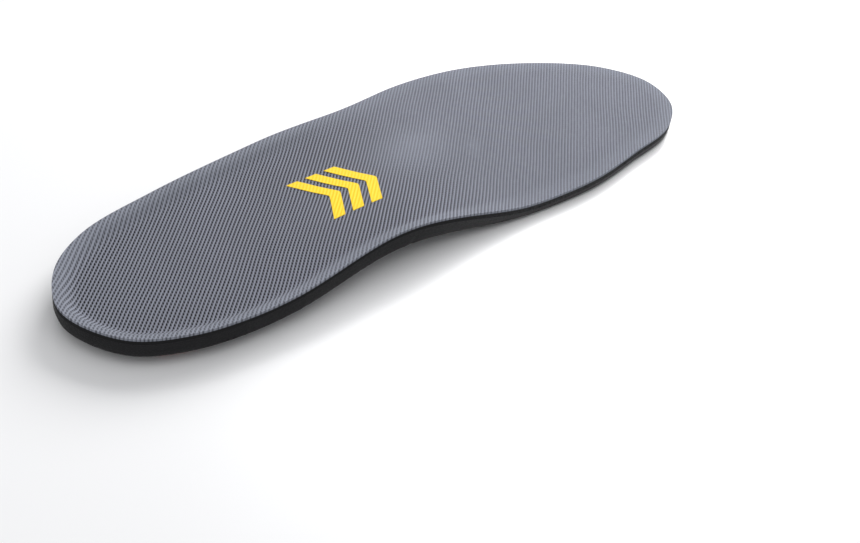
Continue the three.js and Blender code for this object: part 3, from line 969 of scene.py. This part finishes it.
@dataclass
class TopCover(Piece):
    """The knitted cover, its ribs and holes shaped in the mesh."""

    knit: Knit = Knit()
    keep: float = 0.5
    step: float = 0.06
    spare: float = 1.3
    give: float = 1.02
    relief: tuple[float, float] = (0.2, 2.2)  # how far in the knit's relief begins, and is full
    pulled: tuple[float, float] = (2.4, 8.5)  # how far in the fabric is stretched and painted lightest, and not at all
    cut_pull_and_highlight: float = 0.45
    dome_pull_and_highlight: float = 0.9
    dome_ahead: float = 6.0

    def inside(self, x: Array, y: Array) -> Array:
        """True where a plan point lies between the two sides of the edge.

        Args:
            x, y: Plan points.

        Returns:
            One truth value per point.
        """
        inner, outer = self.plan.sides(x)
        low, high = self.plan.edge[:, 0].min(), self.plan.edge[:, 0].max()
        return (x > low) & (x < high) & (y > inner) & (y < outer)

    def lattice(self) -> tuple[Array, Array, Array, Array]:
        """Plan points at every half rib and half loop near the insole, with their numbers along both.

        Returns:
            The points' x and y, ribs and loops, each as a grid.
        """
        reach = int(self.spare * self.plan.length / min(self.knit.rib_step, self.knit.loop_step))
        halves = np.round(np.arange(-reach, 2 * reach) - reach / 4) / 2
        ribs, loops = np.meshgrid(halves, halves, indexing="ij")
        return *self.knit.place(ribs, loops), ribs, loops

    def trimmed(self) -> tuple[Array, Array, Array, Array, Array]:
        """Faces of the lattice that lie inside the edge, their plan points, and those points' numbers.

        Returns:
            The faces, and the points' x and y, ribs and loops.
        """
        x, y, ribs, loops = self.lattice()
        near = (x > -2) & (x < self.plan.length + 2) & (np.abs(y) < self.plan.ball_lateral + 3)
        inner = np.zeros(x.shape, bool)
        inner[near] = self.inside(x[near], y[near])
        inner[inner] = self.plan.inset(x[inner], y[inner]) > self.keep
        whole = inner[:-1, :-1] & inner[1:, :-1] & inner[1:, 1:] & inner[:-1, 1:]
        first, width = np.flatnonzero(np.pad(whole, ((0, 1), (0, 1))).ravel()), x.shape[1]
        face = np.stack([first, first + width, first + width + 1, first + 1], 1)
        used, face = np.unique(face, return_inverse=True)
        return face.reshape(-1, 4), *(values.ravel()[used] for values in (x, y, ribs, loops))

    def build(self) -> bpy.types.Object:
        """Cuts the lattice to the outline, draws its border out to the edge, and closes it underneath.

        Depth of a point: none on a rib but for the knot between loops, the bridge's depth between two
        holes, and the hole's depth at a hole.

        Returns:
            The cover without its look.
        """
        plan, knit = self.plan, self.knit
        face, x, y, ribs, loops = self.trimmed()
        edges = np.concatenate([face[:, [i, (i + 1) % 4]] for i in range(4)])
        code, back = edges @ [len(x), 1], edges @ [1, len(x)]
        rim = chain(edges[~np.isin(code, back)])
        x[rim], y[rim] = self.to_edge(x[rim], y[rim])
        inset = plan.inset(x, y)
        inset[rim] = 0.0
        flat = plan.face(x, y, inset)
        valley = np.where(loops % 1 == 0, knit.hole_depth, knit.bridge_depth)
        depth = np.where(ribs % 1 == 0, valley, np.where(loops % 1 == 0, 0.0, -knit.knot_rise))
        top = np.column_stack([x, y, flat - depth * ease(*self.relief, inset)])
        extra, closing = rings(plan, top[rim, :2], rim, len(x),
                               lambda u, v, w: plan.face(u, v, w) - plan.cover, flat[rim] - plan.cover)
        points = np.vstack([top, *extra])
        piece = add_mesh("knit_cover", points, [face, *(f[:, ::-1] for f in closing)], plan, 75.0)
        # The stretch share is also a painted highlight on the rim and over the dome, weaker on the cut
        # forefoot edge.
        stretch_and_highlight = 1 - ease(*self.pulled, inset)
        stretch_and_highlight = stretch_and_highlight * (self.cut_pull_and_highlight + (1 - self.cut_pull_and_highlight) * plan.moulded(x))
        stretch_and_highlight = np.maximum(stretch_and_highlight, self.dome_pull_and_highlight * plan.dome(x + self.dome_ahead, y))
        paint(piece, "stretch_and_highlight", np.concatenate([stretch_and_highlight, np.ones(len(points) - len(x))]))
        knit.mark(piece, points)
        return piece

    def to_edge(self, x: Array, y: Array) -> tuple[Array, Array]:
        """The nearest edge point of each point of a border, in order round the edge, no two in one place.

        Each point's distance along the edge is unrolled, then raised to at least `step` past the one before
        it, and kept as far short of one full turn as the points after it need.

        Args:
            x, y: The border's points in order.

        Returns:
            The edge points' x and y.
        """
        edge, step = self.plan.edge, self.step
        closed = np.vstack([edge, edge[:1]])
        along = np.concatenate([[0.0], np.cumsum(np.hypot(*np.diff(closed, axis=0).T))])
        gap = (x[:, None] - edge[None, :, 0]) ** 2 + (y[:, None] - edge[None, :, 1]) ** 2
        total = along[-1]
        way = np.unwrap(along[gap.argmin(1)] * math.tau / total) * total / math.tau
        sense = np.sign(way[-1] - way[0])
        count = np.arange(len(x))
        way = np.maximum.accumulate(way * sense - step * count) + step * count
        way = np.minimum(way, way[0] + total - step * (len(x) - count)) * sense % total
        return np.interp(way, along, closed[:, 0]), np.interp(way, along, closed[:, 1])

    def make(self) -> bpy.types.Object:
        """Returns:
            The cover.
        """
        piece = self.fit(self.build(), "top_cover", Slot.COVER, KnitFinish().material())
        corners = self.plan.edge * MM
        ahead = np.roll(corners, -1, 0)
        area = abs((corners[:, 0] * ahead[:, 1] - ahead[:, 0] * corners[:, 1]).sum()) / 2 * self.give
        return piece


@dataclass
class ComfortFoam(Piece):
    """The sheet of softer foam between cover and base; only its cut edge shows."""

    along: int = 260
    across: int = 90
    slack: float = 0.04
    least: float = 0.8

    def make(self) -> bpy.types.Object:
        """A sheet that follows the cover and fills the bond lines.

        Returns:
            The foam.
        """
        x, y = self.plan.grid(self.along, self.across)
        inset = self.plan.inset(x, y)
        inset.ravel()[border(*x.shape)] = 0.0
        top = self.plan.face(x, y, inset) - self.plan.cover - self.slack
        low = self.plan.base_top(x, y, inset) + self.slack
        points, faces = sheet_mesh(x, y, low, np.maximum(top, low + self.least))
        piece = add_mesh("comfort_foam_sheet", points, faces, self.plan)
        return self.fit(piece, "comfort_foam", Slot.FOAM, CutFoamFinish().material())


@dataclass
class PadPlan:
    """A pad's plan: a squarish oval, skewed forward on one side, its front edge drawn in."""

    x: float
    y: float
    length: float
    width: float
    square: float
    skew: float
    hollow: float

    def outline(self, count: int = 320) -> Array:
        """The pad's edge, anticlockwise: the power-bent circle |u|^n + |v|^n = 1, stretched and skewed.

        Args:
            count: How many points.

        Returns:
            N x 2 plan points.
        """
        angle = np.arange(count) * math.tau / count
        power = 2.0 / self.square
        u = np.sign(np.cos(angle)) * np.abs(np.cos(angle)) ** power
        v = np.sign(np.sin(angle)) * np.abs(np.sin(angle)) ** power
        x = self.x + self.length / 2 * u + self.skew * v - self.hollow * np.clip(u, 0, None) * (1 - v * v)
        return evenly(np.stack([x, self.y + self.width / 2 * v], 1))

    def away(self, x: Array, y: Array) -> Array:
        """Distance outside the pad's edge, negative inside, measured along the ray from its middle.

        Args:
            x, y: Plan points.

        Returns:
            Distances in millimetres.
        """
        v = (y - self.y) / (self.width / 2)
        u = (x - self.x - self.skew * v) / (self.length / 2)
        drawn = self.length / 2 - self.hollow * (1 - np.clip(v * v, 0, 1))
        u = np.where(u > 0, u * self.length / 2 / drawn, u)
        ring = (np.abs(u) ** self.square + np.abs(v) ** self.square) ** (1 / self.square)
        return np.hypot(x - self.x, y - self.y) * (1 - 1 / np.maximum(ring, 1e-6))


@dataclass
class Underside:
    """What is moulded into the base's underside: depths are positive going up into the foam."""

    plan: Plan
    clearance: float = 1.2
    heel_margin: float = 9.4
    heel_length: float = 45.0
    heel_lead: float = 2.0
    heel_depth: float = 2.6
    ball_margin: float = 7.8
    ball_length: float = 48.0
    ball_depth: float = 1.75
    dish_length: float = 72.0
    dish_margin: float = 13.0
    dish_depth: float = 1.7
    dish_slope: float = 1.2
    flex_count: int = 7
    flex_pitch: float = 4.9
    flex_width: float = 2.0
    flex_depth: float = 1.4
    flex_tip: float = 19.0
    flex_split_y: float = -20.0
    flex_split_width: float = 5.0
    flex_margin: float = 6.0
    flex_slant: float = 0.12
    fan_angles: tuple[float, ...] = (-46.0, 0.0, 42.0)
    fan_width: float = 2.4
    fan_depth: float = 1.4
    fan_gap: float = 2.5
    fan_length: float = 13.0
    mark_y: float = 27.0
    mark_radius: float = 4.5
    mark_line: float = 1.1
    mark_depth: float = 0.45
    welt: float = 0.16
    welt_gap: float = 0.7
    welt_width: float = 1.1
    wall: float = 0.5

    @property
    def heel_pad(self) -> PadPlan:
        """The heel pad's plan."""
        lateral = self.plan.heel_lateral + self.plan.heel_shift
        medial = self.plan.heel_medial - self.plan.heel_shift
        width = lateral + medial - 2 * self.heel_margin
        middle = self.plan.heel_pad_x + self.heel_lead
        return PadPlan(middle, (lateral - medial) / 2, self.heel_length, width,
                       square=3.4, skew=1.5, hollow=8.0)

    @property
    def ball_pad(self) -> PadPlan:
        """The ball pad's plan."""
        lateral, medial = self.plan.ball_lateral, self.plan.ball_medial
        width = lateral + medial - 2 * self.ball_margin
        middle = self.plan.ball_x + 2
        return PadPlan(middle, (lateral - medial) / 2, self.ball_length, width,
                       square=2.7, skew=-15.0, hollow=0.0)

    @property
    def dish(self) -> tuple[float, float, float, float]:
        """The dish's middle x and y, and its half length and half width."""
        wide = self.plan.waist_lateral + self.plan.waist_medial - 2 * self.dish_margin
        middle = (self.plan.waist_lateral - self.plan.waist_medial) / 2
        return self.plan.arch_x + 1, middle, self.dish_length / 2, wide / 2

    def dish_away(self, x: Array, y: Array) -> Array:
        """Distance outside the dish's edge, along the ray from its middle.

        Args:
            x, y: Plan points.

        Returns:
            Distances in millimetres.
        """
        mx, my, half, wide = self.dish
        ring = np.hypot((x - mx) / half, (y - my) / wide)
        return np.hypot(x - mx, y - my) * (1 - 1 / np.maximum(ring, 1e-6))

    def groove(self, x: Array, y: Array, ends: Array, width: float) -> Array:
        """Share of a groove's depth at each point: a flat floor, sloping sides and round ends.

        Args:
            x, y: Plan points.
            ends: The x and y of both ends.
            width: Its width.

        Returns:
            Shares from 0 to 1.
        """
        a, b = ends[:2], ends[2:]
        run = b - a
        share = np.clip(((x - a[0]) * run[0] + (y - a[1]) * run[1]) / max(1e-9, float(run @ run)), 0, 1)
        off = np.hypot(x - a[0] - share * run[0], y - a[1] - share * run[1])
        return 1 - ease(0.62 * width / 2, 1.28 * width / 2, off)

    def flex_ends(self) -> Array:
        """End points of the flex grooves, one row each.

        Returns:
            N x 4 numbers, the x and y of both ends.
        """
        x = self.plan.length - self.flex_tip - np.arange(self.flex_count) * self.flex_pitch
        inner, outer = self.plan.sides(x)
        half = self.flex_split_width / 2
        rows = []
        for start, end in ((self.flex_split_y - half, inner + self.flex_margin),
                           (self.flex_split_y + half, outer - self.flex_margin)):
            first = np.full_like(x, start)
            rows.append(np.stack([x, first, x - self.flex_slant * (end - first), end], 1))
        return np.concatenate(rows)

    def fan_ends(self) -> Array:
        """End points of the grooves that fan out from the dish.

        Returns:
            N x 4 numbers, the x and y of both ends.
        """
        mx, my, half, wide = self.dish
        turn = np.radians(self.fan_angles)
        rows = []
        for side in (-1.0, 1.0):
            along, across = np.sin(turn), side * np.cos(turn)
            start = self.fan_gap + 1 / np.hypot(along / half, across / wide)
            end = start + self.fan_length
            rows.append(np.stack([middle + way * reach for reach in (start, end)
                                  for middle, way in ((mx, along), (my, across))], 1))
        return np.concatenate(rows)

    def cuts(self, x: Array, y: Array) -> tuple[Array, Array]:
        """Share of the full depth of the flex grooves and of the fan grooves.

        Args:
            x, y: Plan points.

        Returns:
            Both shares.
        """
        clear = ease(self.clearance + 1.0, self.clearance + 2.2, self.ball_pad.away(x, y))
        flex = np.max([self.groove(x, y, ends, self.flex_width) for ends in self.flex_ends()], axis=0)
        fan = np.max([self.groove(x, y, ends, self.fan_width) for ends in self.fan_ends()], axis=0)
        return flex * clear, fan

    def slots(self, x: Array, y: Array) -> Array:
        """How far a point lies down in a groove or in the gap round a pad, from 0 to 1, used as painted
        shade.

        Args:
            x, y: Plan points.

        Returns:
            Shares from 0 to 1.
        """
        gap = [1 - ease(self.clearance - 0.6, self.clearance + 0.5, pad.away(x, y))
               for pad in (self.heel_pad, self.ball_pad)]
        return np.max([*self.cuts(x, y), *gap], axis=0)

    def depth(self, x: Array, y: Array) -> Array:
        """Total depth cut into the plain underside, less the soft welts round the recesses.

        Args:
            x, y: Plan points.

        Returns:
            Depths in millimetres.
        """
        heel, ball, dish = self.heel_pad.away(x, y), self.ball_pad.away(x, y), self.dish_away(x, y)
        near, far = self.clearance - self.wall, self.clearance + self.wall
        recess = self.heel_depth * (1 - ease(near, far, heel))
        recess = recess + self.ball_depth * (1 - ease(near, far, ball))
        bowl = self.dish_depth * (1 - ease(-self.dish_slope, 0.6, dish))
        flex, fan = self.cuts(x, y)
        ring = np.abs(np.hypot(x - self.dish[0] - self.dish[2], y - self.mark_y) - self.mark_radius)
        mark = self.mark_depth * (1 - ease(0.3 * self.mark_line, 0.9 * self.mark_line, ring))
        crest = far + self.welt_gap
        welt = sum(self.welt * np.exp(-(((away - crest) / self.welt_width) ** 2)) for away in (heel, ball))
        return recess + bowl + self.flex_depth * flex + self.fan_depth * fan + mark - welt


@dataclass
class MouldedBase(Piece):
    """The black moulded base."""

    along: int = 480
    across: int = 168
    sunk: float = 0.15
    least: float = 0.35
    wall_ends: tuple[float, float] = (4.0, 9.0)
    slots_start: tuple[float, float] = (1.5, 5.0)
    dish_ends: tuple[float, float] = (-1.2, -0.2)

    def build(self, under: Underside) -> bpy.types.Object:
        """A fine height field underneath, its border carried up the lip and in over the top.

        Args:
            under: What is moulded into the base's underside.

        Returns:
            The base without its look.
        """
        plan = self.plan
        x, y = plan.grid(self.along, self.across)
        inset = plan.inset(x, y)
        rows, columns = x.shape
        loop = border(rows, columns)
        inset.ravel()[loop] = 0.0
        depth, keep = under.depth(x, y), ease(0.0, 2.0, inset)
        plain, roof = plan.base_bottom(x, y, inset), plan.base_top(x, y, inset) - self.least
        low = plain + np.where(depth > 0, depth * np.maximum(keep, 0.5), depth * keep)
        low = np.minimum(low, np.maximum(roof, plain))
        edge = np.stack([x.ravel()[loop], y.ravel()[loop]], 1)
        rim = plan.base_top(edge[:, 0], edge[:, 1], np.zeros(len(loop)))
        extra, closing = rings(plan, edge, loop, x.size,
                               lambda u, v, w: plan.base_top(u, v, w) - self.sunk, rim)
        points = np.vstack([np.stack([x, y, low], -1).reshape(-1, 3), *extra])
        piece = add_mesh("moulded_base", points, [quads(rows, columns)[:, ::-1], *closing], plan, 80.0)
        dish, wall, slot = (np.zeros(len(points)) for _ in range(3))
        dish[: x.size] = 1 - ease(*self.dish_ends, under.dish_away(x, y)).ravel()
        wall[: x.size] = (plan.moulded(x) * (1 - ease(*self.wall_ends, inset))).ravel()
        wall[x.size: x.size + len(loop)] = plan.moulded(edge[:, 0])
        # Painted shade in the grooves and pad gaps, faded out near the edge so the side wall stays
        # unshaded.
        slot[: x.size] = (under.slots(x, y) * ease(*self.slots_start, inset)).ravel()
        for name, values in (("dish", dish), ("wall", wall), ("slot", slot)):
            paint(piece, name, values)
        return piece

    def make(self, under: Underside) -> bpy.types.Object:
        """Builds and dresses the base.

        Args:
            under: What is moulded into the base's underside.

        Returns:
            The base.
        """
        piece = self.build(under)
        return self.fit(piece, "base_foam", Slot.BASE, MouldedFinish().material())


@dataclass
class SoftPads(Piece):
    """The two red pads, with rounded edges and flat faces that the insole rests on."""

    radius: float = 0.7

    def make(self, under: Underside) -> list[bpy.types.Object]:
        """Builds both pads in their recesses.

        Args:
            under: What is moulded into the base's underside.

        Returns:
            The two pads.
        """
        plan, material = self.plan, PadFinish().material()
        heel_top = plan.proud + under.heel_depth - plan.bond
        ball_top = plan.proud + under.ball_depth - plan.glue
        made = []
        for name, node, shape, top in (("heel_cushion", "heel_pad", under.heel_pad, heel_top),
                                       ("ball_cushion", "ball_pad", under.ball_pad, ball_top)):
            points, faces = slab_mesh(shape.outline(), 0.0, top, self.radius)
            piece = add_mesh(name, points, faces, plan, 80.0)
            made.append(self.fit(piece, node, Slot.PAD, material))
        return made


@dataclass
class Shank(Piece):
    """The stiff plate under the arch: a tapered bar with an arm to the outer side."""

    thickness: float = 1.1
    heel_width: float = 15.0
    toe_width: float = 5.0
    length: float = 44.0
    arm_width: float = 8.0
    arm_length: float = 15.0
    arm_x: float = 3.0
    fillet: float = 2.2
    reach: float = 40.0
    halvings: int = 32
    sag: float = 0.2
    radius: float = 0.35

    def away(self, x: Array, y: Array, middle: tuple[float, float]) -> Array:
        """Distance outside the plate: a smooth union of a tapered bar and a straight arm.

        Args:
            x, y: Plan points.
            middle: The dish's middle.

        Returns:
            Distances in millimetres.
        """
        heel = np.array([middle[0] - self.length / 2 + self.heel_width / 2, middle[1]])
        toe = np.array([middle[0] + self.length / 2 - self.toe_width / 2, middle[1]])
        run = toe[0] - heel[0]
        slope = (self.heel_width - self.toe_width) / 2 / run
        lean = np.abs(y - middle[1]) * slope / math.sqrt(1 - slope**2)
        share = np.clip((x - heel[0] + lean) / run, 0, 1)
        bar = np.hypot(x - heel[0] - share * run, y - middle[1])
        bar = bar - (self.heel_width / 2 - share * slope * run)
        end = self.arm_length - self.arm_width / 2
        lift = np.clip(y - middle[1], 0, end)
        arm = np.hypot(x - middle[0] - self.arm_x, y - middle[1] - lift) - self.arm_width / 2
        blend = np.clip(0.5 + (arm - bar) / (2 * self.fillet), 0, 1)
        return arm * (1 - blend) + bar * blend - self.fillet * blend * (1 - blend)

    def outline(self, middle: tuple[float, float], count: int = 300) -> Array:
        """The plate's edge: along each ray from the bar's thick part, the distance is halved in on.

        Args:
            middle: The dish's middle.
            count: How many points.

        Returns:
            N x 2 plan points.
        """
        eye = np.array([middle[0] + self.arm_x - 2.0, middle[1] + 1.0])
        angle = np.arange(count) * math.tau / count
        ray = np.stack([np.cos(angle), np.sin(angle)], 1)
        low, high = np.zeros(count), np.full(count, self.reach)
        for _ in range(self.halvings):
            half = (low + high) / 2
            spot = eye + ray * half[:, None]
            outside = self.away(spot[:, 0], spot[:, 1], middle) > 0
            low, high = np.where(outside, low, half), np.where(outside, half, high)
        return evenly(eye + ray * low[:, None])

    def make(self, under: Underside) -> bpy.types.Object:
        """Builds the plate, a bond line below the dish's floor.

        Args:
            under: What is moulded into the base's underside.

        Returns:
            The plate.
        """
        high = self.plan.proud + under.dish_depth - self.plan.glue
        low = high - self.thickness - self.sag
        points, faces = slab_mesh(self.outline(under.dish[:2]), low, high, self.radius)
        piece = add_mesh("arch_shank_plate", points, faces, self.plan, 80.0)
        return self.fit(piece, "arch_shank", Slot.SHANK, ShankFinish().material())


@dataclass
class PrintedChevrons(Piece):
    """Three chevrons of thin film on the cover, pointing to the toe."""

    knit: Knit = Knit()
    count: int = 3
    back: float = 14.0
    y: float = 4.0
    width: float = 26.0
    bar: float = 5.0
    pitch: float = 8.5
    depth: float = 9.0
    lift: float = 0.07
    film: float = 0.12
    softness: float = 0.04
    along: int = 96
    across: int = 20

    def sheet(self, number: int) -> tuple[Array, list[Array]]:
        """One chevron: t runs from end to end and s across the bar, x = start + s bar + depth (1 - |t|).

        Args:
            number: Which chevron, counted from 0 at the heel's end.

        Returns:
            Points and faces.
        """
        start = self.plan.arch_x - self.back + number * self.pitch
        shares = np.linspace(0, 1, self.across + 1), np.linspace(-1, 1, self.along + 1)
        s, t = np.meshgrid(*shares, indexing="ij")
        fold = np.sqrt(t * t + self.softness**2)
        x = start + s * self.bar + self.depth * (1 - fold)
        y = self.y + t * self.width / 2
        top = self.plan.cover_top(x, y, np.full_like(x, self.plan.cup_wall))
        top = top + self.knit.knot_rise + self.lift
        return sheet_mesh(x, y, top - self.film / 2, top + self.film / 2)

    def make(self) -> None:
        """Builds and dresses every chevron."""
        material = FilmFinish().material()
        for number in range(self.count):
            points, faces = self.sheet(number)
            piece = add_mesh(f"chevron_film_{number + 1}", points, faces, self.plan, 50.0)
            self.knit.mark(piece, points)
            self.fit(piece, f"print_chevron_{number + 1}", Slot.PRINT, material)


# ---------------------------------------------------------------- studio


def facing(azimuth: float, elevation: float, roll: float = 0.0) -> Array:
    """Right, up and back, as rows, of what looks in from an azimuth and an elevation in degrees.

    Args:
        azimuth, elevation: Where it looks in from.
        roll: How far it is turned about its own line of sight.

    Returns:
        3 x 3 array.
    """
    a, e, r = (math.radians(angle) for angle in (azimuth, elevation, roll))
    back = np.array([math.sin(a) * math.cos(e), -math.cos(a) * math.cos(e), math.sin(e)])
    right = np.array([math.cos(a), math.sin(a), 0.0])
    tilted = math.cos(r) * right + math.sin(r) * np.cross(back, right)
    return np.array([tilted, np.cross(back, tilted), back])


@dataclass(frozen=True)
class Lamp:
    """One soft light, aimed at a point along the insole from an azimuth and an elevation in degrees."""

    name: str
    azimuth: float
    elevation: float
    distance: float
    size: float
    power: float
    along: float = 0.0


@dataclass
class Studio:
    """Pale floor, soft light and the camera."""

    aim: tuple[float, float, float] = (-0.04, -0.74, 6.0)
    azimuth: float = -49.48
    elevation: float = 40.21
    roll: float = 9.76
    distance: float = 469.2
    aside: float = -13.31
    above: float = 34.67
    lens: float = 54.42
    floor_size: float = 6.0
    floor_drop: float = 0.15
    sky: float = 0.5
    lamps: tuple[Lamp, ...] = (
        Lamp("key", 118.0, 42.0, 0.62, 0.5, 5.2, 0.09),
        Lamp("top", -20.0, 75.0, 1.1, 0.9, 2.6),
        Lamp("fill", -95.0, 30.0, 1.2, 0.9, 1.2),
    )

    def camera(self) -> None:
        """Puts the camera where the insole fills the frame from heel at left to toe at right."""
        rows = facing(self.azimuth, self.elevation, self.roll)
        place = np.array(self.aim) + np.array([-self.aside, -self.above, self.distance]) @ rows
        data = bpy.data.cameras.new("camera")
        data.sensor_width, data.lens = 36.0, self.lens
        data.clip_start, data.clip_end = 0.01, 20.0
        bpy.context.scene.camera = put("camera", data, rows, place * MM)

    def light(self) -> None:
        """A bright, even world and the soft lamps."""
        world = bpy.data.worlds.new("studio")
        world.use_nodes = True
        sky = world.node_tree.nodes["Background"]
        sky.inputs[0].default_value, sky.inputs[1].default_value = (0.97, 0.98, 1.0, 1.0), self.sky
        bpy.context.scene.world = world
        for lamp in self.lamps:
            data = bpy.data.lights.new(lamp.name, "AREA")
            data.energy, data.size = lamp.power, lamp.size
            rows = facing(lamp.azimuth, lamp.elevation)
            put(lamp.name, data, rows, rows[2] * lamp.distance + [lamp.along, 0.0, 0.0])

    def floor(self) -> None:
        """A plain pale floor just under the pads."""
        half, low = self.floor_size / 2, -self.floor_drop * MM
        mesh = bpy.data.meshes.new("floor")
        corners = [(-half, -half, low), (half, -half, low), (half, half, low), (-half, half, low)]
        mesh.from_pydata(corners, [], [(0, 1, 2, 3)])
        bench = Bench("floor_paint")
        bench.set(Base_Color=(0.88, 0.88, 0.885, 1.0), Roughness=0.28, Specular_IOR_Level=0.5)
        mesh.materials.append(bench.material)
        put("floor", mesh)

    def build(self) -> None:
        """Everything around the insole."""
        bpy.context.scene.view_settings.view_transform = "Standard"
        self.camera()
        self.light()
        self.floor()


def main() -> None:
    """Builds the studio and every piece in order."""
    logging.basicConfig(level=logging.INFO, format="%(name)s: %(message)s")
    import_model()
    Studio().build()
    plan, knit = Plan(), Knit()
    under = Underside(plan)
    TopCover(plan, knit).make()
    ComfortFoam(plan).make()
    MouldedBase(plan).make(under)
    SoftPads(plan).make(under)
    Shank(plan).make(under)
    PrintedChevrons(plan, knit).make()


if __name__ == "__main__":
    main()
